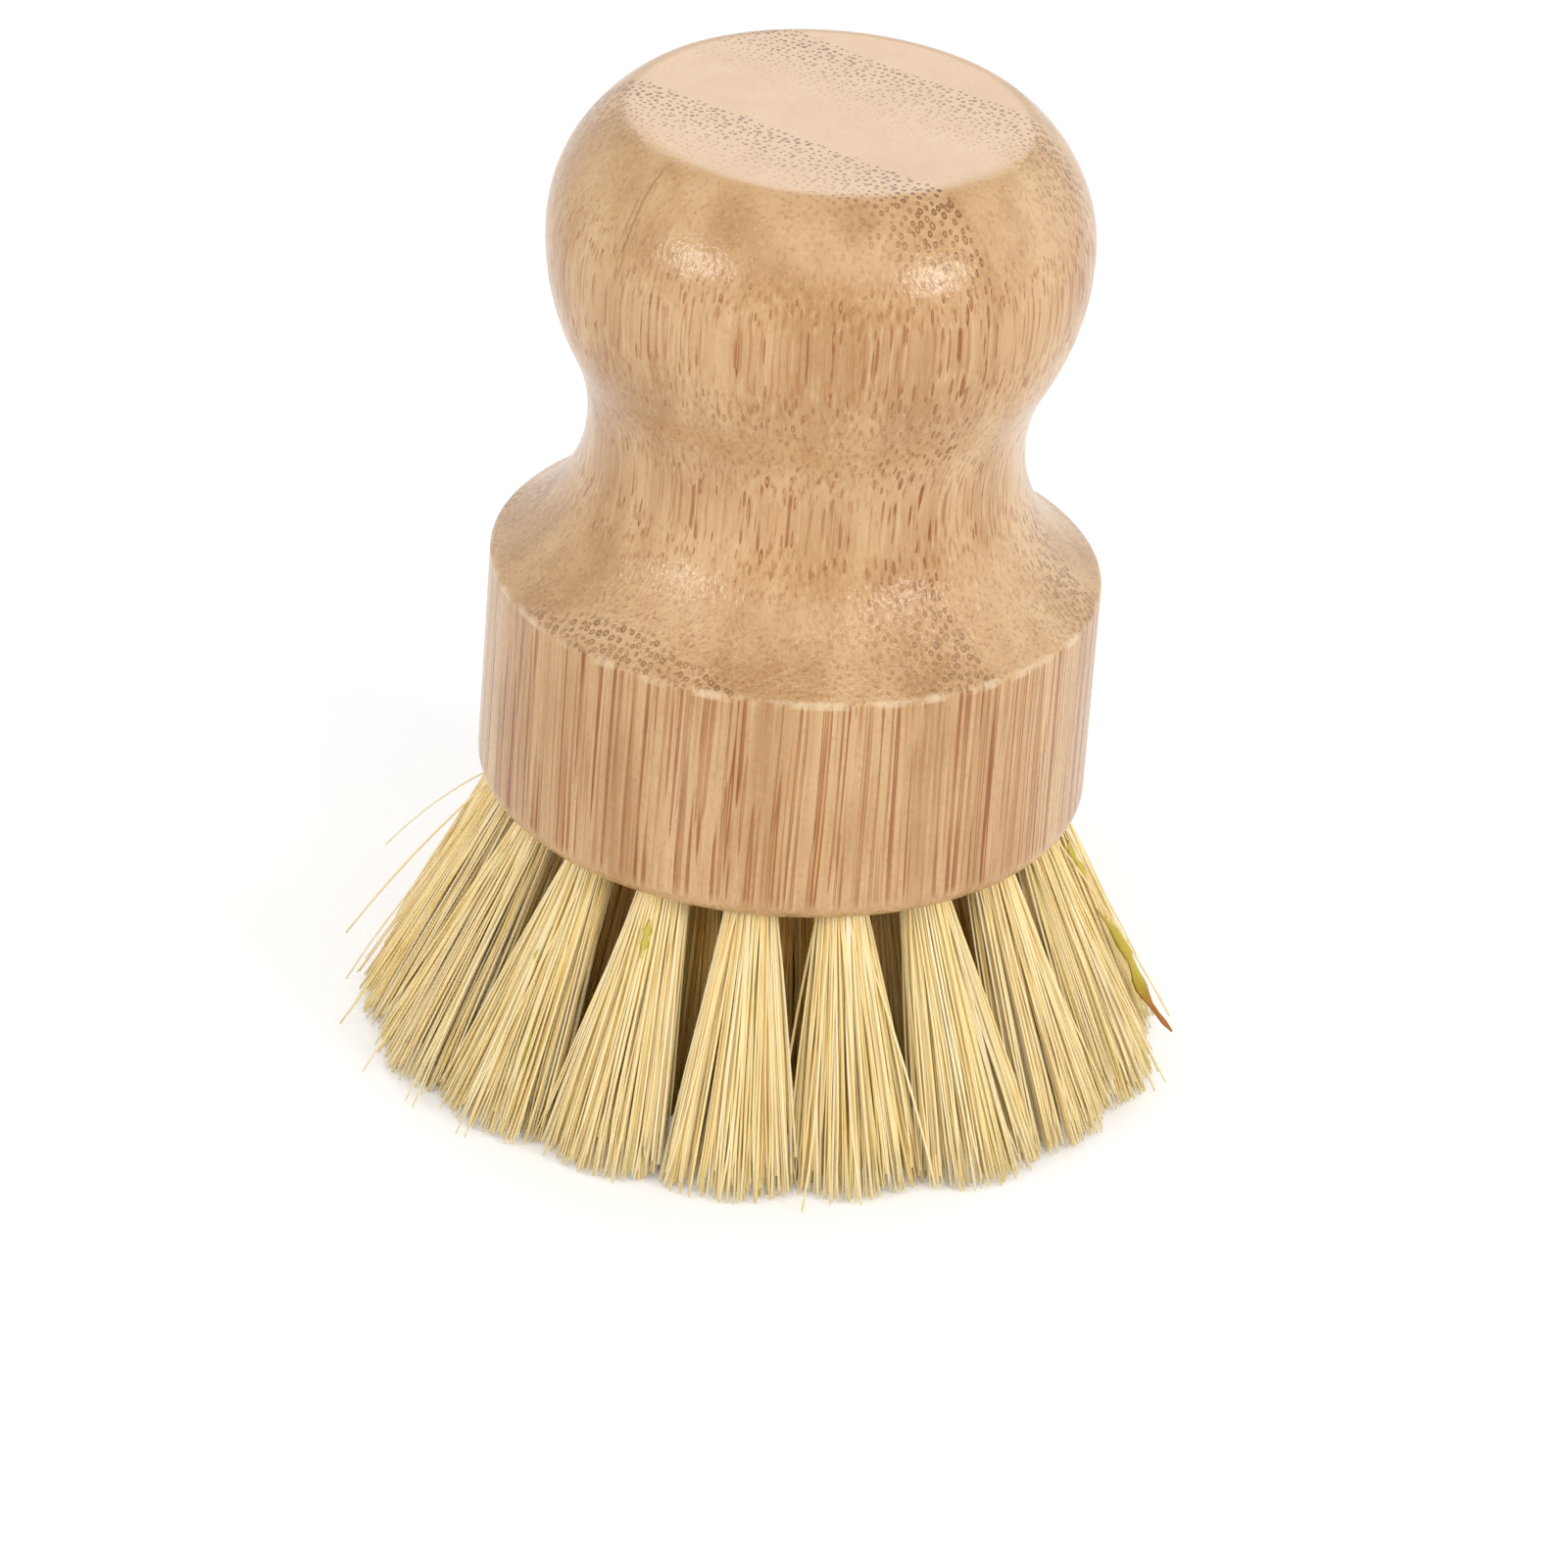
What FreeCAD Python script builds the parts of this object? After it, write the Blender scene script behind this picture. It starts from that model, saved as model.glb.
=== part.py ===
import FreeCAD, Part
import math
import os

import Sketcher

# Palm dish brush: a turned bamboo handle whose base holds rings of plant-fibre tufts.
# Each tuft is folded into a blind drilled hole, where a wire staple bites into the wood.
# Z is the turning axis, and the trimmed bristle tips lie on Z = 0. Lengths are in millimetres.

SIZES = {
    # Turned handle, from the band at its foot up to the flat top
    "band_diameter": 52.0,
    "band_height": 21.0,
    "shoulder_depth": 7.5,  # from the band's wall in to the waist
    "waist_rise": 12.8,  # from the band's upper edge up to the waist
    "knob_overhang": 4.5,  # from the waist out to the knob's widest ring
    "knob_rise": 17.7,  # from the waist up to the widest ring
    "top_inset": 6.2,  # from the widest ring in to the flat top's rim
    "top_rise": 11.3,  # from the widest ring up to the flat top
    "foot_round": 2.0,
    "shoulder_round": 0.5,
    "top_round": 3.0,
    # Drilled holes
    "hole_diameter": 4.4,
    "hole_depth": 11.5,
    "drill_point": 1.3,  # height of the cone that the drill leaves
    "rim_width": 4.5,  # from the band's wall in to the outer ring of holes
    "hole_pitch": 7.3,  # least spacing of the holes along a ring
    # Tufts
    "bristle_height": 23.0,
    "outer_lean": 21.8,  # degrees between an outer tuft and the turning axis
    "tip_depth": 5.6,  # of a tuft's tip, measured towards the axis
    "tip_gap": 2.0,  # between the tips of neighbours in a ring
    "tuft_clearance": 0.05,  # between a tuft and its hole
    # Staples
    "wire_diameter": 0.85,
    "bend_radius": 0.7,  # to the middle of the wire
    "fold_thickness": 1.2,  # of the fibres between the crown and the hole's floor
    "leg_margin": 0.2,  # between a leg and the hole's wall
    "leg_bite": 3.5,  # of a leg past the hole's floor
    "staple_clearance": 0.03,
    # Every cut runs this far past what it cuts
    "cut_overrun": 2.0,
}

# From the middle out, evenly spaced
RINGS = ("centre", "inner", "middle", "outer")

PLACES = {
    "foot_z": "Sizes.bristle_height",
    "shoulder_z": "foot_z + Sizes.band_height",
    "waist_z": "shoulder_z + Sizes.waist_rise",
    "knob_z": "waist_z + Sizes.knob_rise",
    "top_z": "knob_z + Sizes.top_rise",
    "band_radius": "Sizes.band_diameter / 2",
    "waist_radius": "band_radius - Sizes.shoulder_depth",
    "knob_radius": "waist_radius + Sizes.knob_overhang",
    "top_radius": "knob_radius - Sizes.top_inset",
    # The neck's arc stands upright at the waist, and the knob's lower arc at the widest ring
    "neck_arc": "(Sizes.shoulder_depth ^ 2 + Sizes.waist_rise ^ 2) / (2 * Sizes.shoulder_depth)",
    "knob_arc": "(Sizes.knob_overhang ^ 2 + Sizes.knob_rise ^ 2) / (2 * Sizes.knob_overhang) - neck_arc",
    "crown_arc": "(Sizes.top_inset ^ 2 + Sizes.top_rise ^ 2) / (2 * Sizes.top_inset)",
    "neck_centre": "waist_radius + neck_arc",
    "knob_centre": "knob_radius - knob_arc",
    "crown_centre": "knob_radius - crown_arc",
    "join_share": "neck_arc / (neck_arc + knob_arc)",
    "join_radius": "waist_radius + Sizes.knob_overhang * join_share",
    "join_z": "waist_z + Sizes.knob_rise * join_share",
    "exit_radius": "band_radius - Sizes.rim_width",
    "hole_radius": "Sizes.hole_diameter / 2",
    "drill_tip": "Sizes.hole_depth + Sizes.drill_point",
    "hole_start": "-hole_radius - Sizes.cut_overrun",
    "tuft_radius": "hole_radius - Sizes.tuft_clearance",
    "fold_top": "Sizes.hole_depth - Sizes.tuft_clearance",
    "fold_side": "fold_top - tuft_radius",
    "wire_radius": "Sizes.wire_diameter / 2",
    "channel_radius": "wire_radius + Sizes.staple_clearance",
    "leg_side": "hole_radius - wire_radius - Sizes.leg_margin",
    "leg_end": "Sizes.hole_depth + Sizes.leg_bite",
    "crown_level": "Sizes.hole_depth - Sizes.fold_thickness - wire_radius",
    "bend_level": "crown_level + Sizes.bend_radius",
    "bend_side": "leg_side - Sizes.bend_radius",
}

# Places along a ring's axis are measured from the hole's mouth, up into the wood
RING_PLACES = {
    "exit": "exit_radius * {share}",
    "lean": "Sizes.outer_lean * {share}",
    "count": "max(1; floor(2 * pi * {ring}_exit / Sizes.hole_pitch))",
    "mouth": "-hole_radius * tan({ring}_lean)",
    "tip": "-Sizes.bristle_height / cos({ring}_lean)",
    "tip_radius": "{ring}_exit + Sizes.bristle_height * tan({ring}_lean)",
    "tip_half_width": "{tip_room} - Sizes.tip_gap / 2",
    "end": "{ring}_tip - Sizes.tip_depth * tan({ring}_lean) - Sizes.cut_overrun",
    "stretch": "({ring}_end - {ring}_mouth) / ({ring}_tip - {ring}_mouth)",
    "end_half_width": "tuft_radius + ({ring}_tip_half_width - tuft_radius) * {ring}_stretch",
    "end_half_depth": "tuft_radius + (Sizes.tip_depth / 2 - tuft_radius) * {ring}_stretch",
    "trim_radius": "2 * {ring}_end_half_width",
}
NEIGHBOUR_ROOM = "{ring}_tip_radius * sin(180 / {ring}_count)"
CENTRE_ROOM = "({next_ring}_exit + Sizes.bristle_height * tan({next_ring}_lean)) / 2"

doc = FreeCAD.newDocument("palm_brush")


def fill_sheet(name, cells):
    """A sheet with one named cell a row."""
    sheet = doc.addObject("Spreadsheet::Sheet", name)
    for row, (alias, content) in enumerate(cells.items(), start=1):
        sheet.set(f"A{row}", alias)
        sheet.set(f"B{row}", content)
        sheet.setAlias(f"B{row}", alias)
    return sheet


def ring_cells():
    """The formulas of every ring, whose share of the outer ring's size grows from the middle out."""
    cells = {}
    for step, ring in enumerate(RINGS):
        share = f"{step} / {len(RINGS) - 1}"
        room = (NEIGHBOUR_ROOM if step else CENTRE_ROOM).format(ring=ring, next_ring=RINGS[1])
        for place, formula in RING_PLACES.items():
            cells[f"{ring}_{place}"] = "=" + formula.format(ring=ring, share=share, tip_room=room)
    return cells


def number(name):
    """The value that a cell such as Sizes.hole_depth or -Places.leg_side holds."""
    sheet, alias = name.lstrip("-").split(".")
    value = float(doc.getObject(sheet).get(alias))
    return -value if name.startswith("-") else value


def plane(body, role):
    return next(feature for feature in body.Origin.OriginFeatures if feature.Role == role)


def new_sketch(body, name, role):
    sketch = body.newObject("Sketcher::SketchObject", name)
    sketch.AttachmentSupport = [(plane(body, role), "")]
    sketch.MapMode = "FlatFace"
    return sketch


def sketch_along(body, name, ring):
    """A sketch in the plane of a tuft's axis: its origin is the hole's mouth, and its Y runs up the hole."""
    sketch = new_sketch(body, name, "XZ_Plane")
    sketch.AttachmentOffset = FreeCAD.Placement(FreeCAD.Vector(), FreeCAD.Rotation(FreeCAD.Vector(0, 0, 1), 0))
    sketch.setExpression("AttachmentOffset.Base.x", f"Places.{ring}_exit")
    sketch.setExpression("AttachmentOffset.Base.y", "Places.foot_z")
    sketch.setExpression("AttachmentOffset.Rotation.Angle", f"Places.{ring}_lean")
    return sketch


def sketch_across(body, name, ring, level):
    """A sketch square to a tuft's axis, at a level measured from the hole's mouth. Its X runs round the ring."""
    sketch = new_sketch(body, name, "YZ_Plane")
    turn = FreeCAD.Rotation(FreeCAD.Vector(-1, 0, 0), 90)
    sketch.AttachmentOffset = FreeCAD.Placement(FreeCAD.Vector(), turn)
    lean = f"Places.{ring}_lean"
    sketch.setExpression("AttachmentOffset.Base.y", f"Places.foot_z + {level} * cos({lean})")
    sketch.setExpression("AttachmentOffset.Base.z", f"Places.{ring}_exit - {level} * sin({lean})")
    sketch.setExpression("AttachmentOffset.Rotation.Angle", f"90 + {lean}")
    return sketch


def bind(sketch, name, constraint, expression):
    index = sketch.addConstraint(constraint)
    sketch.renameConstraint(index, name)
    sketch.setExpression(f"Constraints.{name}", expression)


def pin_point(sketch, geometry, point, x_name, y_name):
    """Holds a point of the sketch at two named places. A place of None is the sketch's own axis."""
    tag = f"g{geometry}p{point}"
    if x_name is None:
        sketch.addConstraint(Sketcher.Constraint("PointOnObject", geometry, point, -2))
    else:
        across = Sketcher.Constraint("DistanceX", -1, 1, geometry, point, number(x_name))
        bind(sketch, tag + "x", across, x_name)
    if y_name is None:
        sketch.addConstraint(Sketcher.Constraint("PointOnObject", geometry, point, -1))
    else:
        upward = Sketcher.Constraint("DistanceY", -1, 1, geometry, point, number(y_name))
        bind(sketch, tag + "y", upward, y_name)


def vector(x_name, y_name):
    return FreeCAD.Vector(number(x_name) if x_name else 0, number(y_name) if y_name else 0, 0)


def draw_arc(sketch, start, end, middle):
    """An arc under a half turn, drawn anticlockwise. Gives its start's and end's point numbers."""
    first = math.atan2(start.y - middle.y, start.x - middle.x)
    last = math.atan2(end.y - middle.y, end.x - middle.x)
    anticlockwise = (last - first) % math.tau < math.pi
    low, high = (first, last) if anticlockwise else (last, first)
    circle = Part.Circle(middle, FreeCAD.Vector(0, 0, 1), start.distanceToPoint(middle))
    sketch.addGeometry(Part.ArcOfCircle(circle, low, low + (high - low) % math.tau))
    return (1, 2) if anticlockwise else (2, 1)


def draw_outline(sketch, points, arcs=None, closed=True):
    """Joins named points by lines, and by arcs where a step's arc middle is given."""
    arcs = arcs or {}
    places = [vector(*point) for point in points]
    steps = len(points) if closed else len(points) - 1
    ends = []
    for step in range(steps):
        start = places[step]
        end = places[(step + 1) % len(points)]
        if step in arcs:
            ends.append(draw_arc(sketch, start, end, vector(*arcs[step])))
        else:
            sketch.addGeometry(Part.LineSegment(start, end))
            ends.append((1, 2))
    for step in range(steps if closed else steps - 1):
        following = (step + 1) % steps
        joint = Sketcher.Constraint("Coincident", step, ends[step][1], following, ends[following][0])
        sketch.addConstraint(joint)
    for step in range(steps):
        pin_point(sketch, step, ends[step][0], *points[step])
    if not closed:
        pin_point(sketch, steps - 1, ends[-1][1], *points[-1])
    for step, (_, level) in arcs.items():
        upward = Sketcher.Constraint("DistanceY", -1, 1, step, 3, number(level))
        bind(sketch, f"arc{step}", upward, level)


def draw_circle(sketch, radius, x_name=None, y_name=None):
    geometry = sketch.GeometryCount
    sketch.addGeometry(Part.Circle(vector(x_name, y_name), FreeCAD.Vector(0, 0, 1), number(radius)))
    pin_point(sketch, geometry, 3, x_name, y_name)
    bind(sketch, f"radius{geometry}", Sketcher.Constraint("Radius", geometry, number(radius)), radius)


def draw_oval(sketch, half_width, half_depth):
    """An ellipse about the sketch's origin, wide along X."""
    wide = FreeCAD.Vector(number(half_width), 0, 0)
    deep = FreeCAD.Vector(0, number(half_depth), 0)
    sketch.addGeometry(Part.Ellipse(wide, deep, FreeCAD.Vector()))
    sketch.exposeInternalGeometry(0)
    sketch.addConstraint(Sketcher.Constraint("Coincident", 0, 3, -1, 1))
    sketch.addConstraint(Sketcher.Constraint("Horizontal", 1))
    width = Sketcher.Constraint("Distance", 1, 2 * number(half_width))
    bind(sketch, "width", width, f"2 * {half_width}")
    depth = Sketcher.Constraint("Distance", 2, 2 * number(half_depth))
    bind(sketch, "depth", depth, f"2 * {half_depth}")


def turn_profile(body, kind, name, sketch):
    """A revolution or a groove about the sketch's own Y."""
    feature = body.newObject(kind, name)
    feature.Profile = sketch
    feature.ReferenceAxis = (sketch, ["V_Axis"])
    feature.Angle = 360
    return feature


def require_cut(before, after):
    """A cut that points away from the solid removes nothing and shows no error."""
    doc.recompute()
    if not after.Shape.Volume < before.Shape.Volume:
        raise RuntimeError(f"{after.Label} removes nothing")


def round_rim(body, name, radius_name, level_name, size_name):
    """Rounds the circular edge of this radius at this level."""
    doc.recompute()
    base = body.Tip
    edges = []
    for index, edge in enumerate(base.Shape.Edges, start=1):
        if not isinstance(edge.Curve, Part.Circle):
            continue
        same_radius = math.isclose(edge.Curve.Radius, number(radius_name), rel_tol=1e-6)
        if same_radius and math.isclose(edge.Curve.Center.z, number(level_name), rel_tol=1e-6):
            edges.append(f"Edge{index}")
    fillet = body.newObject("PartDesign::Fillet", name)
    fillet.Base = (base, edges)
    fillet.setExpression("Radius", size_name)


def sweep_staple(body, kind, ring, wire_radius):
    """The staple's wire along its U: one leg down to the crown, across, and up the other leg."""
    path = sketch_along(body, "StaplePath", ring)
    points = [
        ("-Places.leg_side", "Places.leg_end"),
        ("-Places.leg_side", "Places.bend_level"),
        ("-Places.bend_side", "Places.crown_level"),
        ("Places.bend_side", "Places.crown_level"),
        ("Places.leg_side", "Places.bend_level"),
        ("Places.leg_side", "Places.leg_end"),
    ]
    bends = {
        1: ("-Places.bend_side", "Places.bend_level"),
        3: ("Places.bend_side", "Places.bend_level"),
    }
    draw_outline(path, points, bends, closed=False)
    doc.recompute()
    section = body.newObject("Sketcher::SketchObject", "WireSection")
    section.AttachmentSupport = [(path, "Edge1"), (path, "Vertex1")]
    section.MapMode = "NormalToEdge"
    draw_circle(section, wire_radius)
    sweep = body.newObject(kind, "Wire")
    sweep.Profile = section
    sweep.Spine = path
    return sweep


def new_body(label):
    body = doc.addObject("PartDesign::Body", label)
    body.Label = label
    return body


def make_handle():
    body = new_body("handle")
    outline = new_sketch(body, "Outline", "XZ_Plane")
    points = [
        (None, "Places.foot_z"),
        ("Places.band_radius", "Places.foot_z"),
        ("Places.band_radius", "Places.shoulder_z"),
        ("Places.join_radius", "Places.join_z"),
        ("Places.knob_radius", "Places.knob_z"),
        ("Places.top_radius", "Places.top_z"),
        (None, "Places.top_z"),
    ]
    arcs = {
        2: ("Places.neck_centre", "Places.waist_z"),
        3: ("Places.knob_centre", "Places.knob_z"),
        4: ("Places.crown_centre", "Places.knob_z"),
    }
    draw_outline(outline, points, arcs)
    turn_profile(body, "PartDesign::Revolution", "Turning", outline)
    round_rim(body, "TopRound", "Places.top_radius", "Places.top_z", "Sizes.top_round")
    round_rim(body, "ShoulderRound", "Places.band_radius", "Places.shoulder_z", "Sizes.shoulder_round")
    round_rim(body, "FootRound", "Places.band_radius", "Places.foot_z", "Sizes.foot_round")
    for ring in RINGS:
        drill_ring(body, ring)
    return body


def drill_ring(body, ring):
    """The first hole of a ring with the two sockets of its staple's legs, and its copies round the axis."""
    doc.recompute()
    solid = body.Tip
    bore = sketch_along(body, f"{ring}_bore", ring)
    points = [
        (None, "Places.hole_start"),
        ("Places.hole_radius", "Places.hole_start"),
        ("Places.hole_radius", "Sizes.hole_depth"),
        (None, "Places.drill_tip"),
    ]
    draw_outline(bore, points)
    hole = turn_profile(body, "PartDesign::Groove", f"{ring}_hole", bore)
    require_cut(solid, hole)
    legs = sketch_across(body, f"{ring}_legs", ring, "Places.crown_level")
    draw_circle(legs, "Places.channel_radius", None, "Places.leg_side")
    draw_circle(legs, "Places.channel_radius", None, "-Places.leg_side")
    sockets = body.newObject("PartDesign::Pocket", f"{ring}_sockets")
    sockets.Profile = legs
    sockets.Reversed = True
    sockets.setExpression("Length", "Places.leg_end + Sizes.staple_clearance - Places.crown_level")
    require_cut(hole, sockets)
    if number(f"Places.{ring}_count") > 1:
        copies = add_pattern(body, [hole, sockets], ring)
        require_cut(sockets, copies)


def add_pattern(body, originals, ring):
    pattern = body.newObject("PartDesign::PolarPattern", f"{ring}_ring")
    pattern.Originals = originals
    pattern.Axis = (plane(body, "Z_Axis"), [""])
    pattern.Angle = 360
    pattern.setExpression("Occurrences", f"Places.{ring}_count")
    body.Tip = pattern
    return pattern


def make_tuft(label, ring):
    """A tuft on the X side of the axis: a folded root in its hole, and bristles that spread to the tips."""
    body = new_body(label)
    root = sketch_along(body, "Root", ring)
    points = [
        (None, f"Places.{ring}_mouth"),
        ("Places.tuft_radius", f"Places.{ring}_mouth"),
        ("Places.tuft_radius", "Places.fold_side"),
        (None, "Places.fold_top"),
    ]
    draw_outline(root, points, {2: (None, "Places.fold_side")})
    turn_profile(body, "PartDesign::Revolution", "Fold", root)
    mouth = sketch_across(body, "Mouth", ring, f"Places.{ring}_mouth")
    draw_circle(mouth, "Places.tuft_radius")
    spread = sketch_across(body, "Spread", ring, f"Places.{ring}_end")
    draw_oval(spread, f"Places.{ring}_end_half_width", f"Places.{ring}_end_half_depth")
    bristles = body.newObject("PartDesign::AdditiveLoft", "Bristles")
    bristles.Profile = mouth
    bristles.Sections = [spread]
    trim_line = new_sketch(body, "TrimLine", "XY_Plane")
    draw_circle(trim_line, f"Places.{ring}_trim_radius", f"Places.{ring}_tip_radius")
    trim = body.newObject("PartDesign::Pocket", "Trim")
    trim.Profile = trim_line
    trim.Type = "ThroughAll"
    require_cut(bristles, trim)
    channel = sweep_staple(body, "PartDesign::SubtractivePipe", ring, "Places.channel_radius")
    require_cut(trim, channel)
    return body


def copy_tuft(label, original, ring, index):
    """The same tuft, turned about the axis to its own hole."""
    body = new_body(label)
    base = doc.addObject("PartDesign::FeatureBase", "Copy")
    body.Group = [base]
    body.Tip = base
    base.BaseFeature = original
    body.Placement = FreeCAD.Placement(FreeCAD.Vector(), FreeCAD.Rotation(FreeCAD.Vector(0, 0, 1), 0))
    body.setExpression("Placement.Rotation.Angle", f"{index} * 360 / Places.{ring}_count")
    return body


def make_ring_of_tufts(ring):
    count = int(number(f"Places.{ring}_count"))
    if count == 1:
        return [make_tuft(f"{ring}_tuft", ring)]
    tufts = [make_tuft(f"{ring}_tuft_01", ring)]
    for index in range(1, count):
        tufts.append(copy_tuft(f"{ring}_tuft_{index + 1:02d}", tufts[0], ring, index))
    return tufts


def make_staples(ring):
    single = number(f"Places.{ring}_count") == 1
    body = new_body(f"{ring}_staple" if single else f"{ring}_staples")
    body.AllowCompound = True
    staple = sweep_staple(body, "PartDesign::AdditivePipe", ring, "Places.wire_radius")
    if not single:
        add_pattern(body, [staple], ring)
    return body


def check_document(pieces):
    doc.recompute()
    for item in doc.Objects:
        if "Invalid" in item.State or "Error" in item.State:
            raise RuntimeError(f"{item.Label} failed")
    for piece in pieces:
        if piece.Shape.isNull() or not piece.Shape.isValid():
            raise RuntimeError(f"{piece.Label} has no valid shape")


def write_parts(pieces):
    os.makedirs("parts", exist_ok=True)
    for piece in pieces:
        piece.Shape.exportStep(f"parts/{piece.Label}.step")


fill_sheet("Sizes", {alias: str(value) for alias, value in SIZES.items()})
place_cells = {alias: "=" + formula for alias, formula in PLACES.items()}
fill_sheet("Places", {**place_cells, **ring_cells()})
doc.recompute()

pieces = [make_handle()]
for ring in RINGS:
    pieces += make_ring_of_tufts(ring)
    pieces.append(make_staples(ring))
check_document(pieces)
write_parts(pieces)
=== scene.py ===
import math

import bpy
import numpy as np
from mathutils import Matrix, Vector


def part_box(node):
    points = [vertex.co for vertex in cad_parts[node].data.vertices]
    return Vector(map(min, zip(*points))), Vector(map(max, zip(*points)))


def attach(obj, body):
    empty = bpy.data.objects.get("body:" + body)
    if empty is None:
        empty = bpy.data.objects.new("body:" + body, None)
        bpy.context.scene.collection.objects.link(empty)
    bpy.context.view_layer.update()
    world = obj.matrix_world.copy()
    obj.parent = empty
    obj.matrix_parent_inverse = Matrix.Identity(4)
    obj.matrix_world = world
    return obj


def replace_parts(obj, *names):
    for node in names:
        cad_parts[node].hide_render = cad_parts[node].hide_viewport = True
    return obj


# Looks of a palm dish brush: varnished bamboo, tufts of single plant fibres and drawn-wire staples.
# Lengths are in metres, or in millimetres inside the materials. The bristle tips stand on Z = 0.

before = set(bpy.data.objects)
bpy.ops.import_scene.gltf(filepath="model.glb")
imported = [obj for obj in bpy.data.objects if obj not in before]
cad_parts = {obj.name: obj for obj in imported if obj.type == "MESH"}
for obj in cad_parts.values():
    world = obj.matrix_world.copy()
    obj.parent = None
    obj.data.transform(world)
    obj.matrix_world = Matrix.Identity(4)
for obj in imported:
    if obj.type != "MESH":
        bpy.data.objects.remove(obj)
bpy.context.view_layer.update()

band_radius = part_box("handle")[1][0]
foot_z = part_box("handle")[0][2]

# Holes, tufts and staples, as in the solids
RING_COUNTS = {"centre": 1, "inner": 6, "middle": 12, "outer": 18}
RIM_WIDTH = 0.0045
HOLE_RADIUS = 0.0022
OUTER_LEAN = math.radians(21.8)
TIP_DEPTH = 0.0056
TIP_GAP = 0.0020
CROWN_LEVEL = 0.009875  # of the staple's crown, from the hole's mouth up
WIRE_RADIUS = 0.000425
LEG_ROOM = 0.00115  # from the hole's axis to the staple's legs

# Fibres, each folded over a staple so that it shows two ends
FOLDED_FIBRES = 190
FIBRE_RADII = (0.00009, 0.00015)
FLATNESS_SHARE = 0.8
TIP_TAPER_SHARE = 0.72
FIBRE_SIDES = 6
ARM_POINTS = 8
FOLD_POINTS = 7
WALL_ROOM = 1.5  # least, from the hole's wall to a fibre's middle, in the fibre's radii
WIRE_ROOM = 1.3  # least, from the wire to a fibre's middle, in the fibre's radii
LOOP_FLATNESS = 3  # about how many times wider than high the loops spread over the staple
CLUMPS = 10
CLUMP_AREA_SHARE = 0.9  # of the tuft's section, where the middles of the clumps lie
CLUMP_PULL_SHARE = 0.12
TIP_FAN_POWER = 0.36  # under 1, the inner fibres fan out towards the tuft's rim
TIP_SPREAD_SHARES = (1.05, 1.30)  # of the solid's tip, outwards and round the ring
FLARE_SHARES = (0.42, 0.76)  # of the spread that a third and two thirds of the length have
TIP_JITTER = 0.00045
TIP_RISE = 0.0006  # usual height of a tip over the trimmed plane
TIP_RISE_MOST = 6  # times the usual height
BOW = 0.00036
SWAY = 0.00035  # of a whole tuft's tip
STRAY_SHARE = 0.05
STRAY_REACH = 0.0017
STRAY_MOST = 1.5  # times the usual reach
TINT_SPREAD = (13.0, 7.3)  # of a beta distribution from brown to pale
GREEN_SPREAD = (1.2, 5.8)  # of a beta distribution from straw to green
INNER_RING_PAINTED_SHADE = -0.38  # painted shade: how much browner the fibres of the inner rings are made, for the shade deep among the tufts
RING_SEED_STEP = 1000
LEANS = {  # of tufts that the photograph shows out of line, outwards and round the ring
    "outer_tuft_10": (0.0014, 0.0002),
    "outer_tuft_11": (0.0010, 0.0002),
    "outer_tuft_12": (0.0, -0.0006),
    "outer_tuft_14": (0.0, 0.0008),
    "outer_tuft_15": (0.0, 0.0005),
    "outer_tuft_16": (0.0, 0.0008),
    "outer_tuft_17": (0.0002, 0.0002),
    "outer_tuft_18": (0.0005, -0.0008),
}
WILD_TIPS = {  # of single fibres that stand off: distance from the axis, place round the ring and height
    "outer_tuft_10": [(0.0335, 0.0, 0.0153), (0.0365, 0.0, 0.0065)],
    "outer_tuft_18": [(0.0345, 0.0075, 0.0030)],
    "outer_tuft_04": [(0.0340, -0.0020, 0.0110)],
}

# Slivers of leaf skin among the fibres. A row holds the place round the ring, the turn of the face,
# the upper and lower end by distance from the axis and height, the half width and the browning.
SLIVERS = [
    (math.radians(352.7), math.radians(-80), (0.0281, 0.0128), (0.0357, 0.0013), 0.00062, 1.0),
    (math.radians(349.0), math.radians(-55), (0.0252, 0.0203), (0.0271, 0.0160), 0.00036, 0.1),
    (math.radians(240.5), math.radians(15), (0.0248, 0.0208), (0.0261, 0.0176), 0.00040, 0.0),
]
LOOSE_SLIVERS = 9
LOOSE_LENGTHS = (0.0025, 0.0055)
LOOSE_HALF_WIDTHS = (0.00022, 0.00042)
LOOSE_LOW_SHARES = (0.1, 0.6)  # of the foot's height, for the lower end
LOOSE_PLACE_SPREAD = 0.05  # radians from the middle of a tuft
LOOSE_TURN_SPREAD = 0.5  # radians from facing outwards
LOOSE_BROWNING_POWER = 2  # over 1, most slivers stay green
SLIVER_SEED = 7
SLIVER_POINTS = 15
SLIVER_HALF_DEPTH = 0.00006
SLIVER_BOW = 0.0003
SLIVER_FACE_RISE = 0.3  # how far the faces look up
SLIVER_END_SHARE = 0.02  # least of the taper's square, so that the ends stay open
SWELL_SHARE = 0.28
SWELL_STEP_SHARE = 0.36  # of the length, from one wide place to the next
SWELL_START_SHARE = 0.27
DRY_START_SHARE = 0.55  # of the length, where the browning comes in
DRY_FADE_SHARE = 0.3


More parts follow.
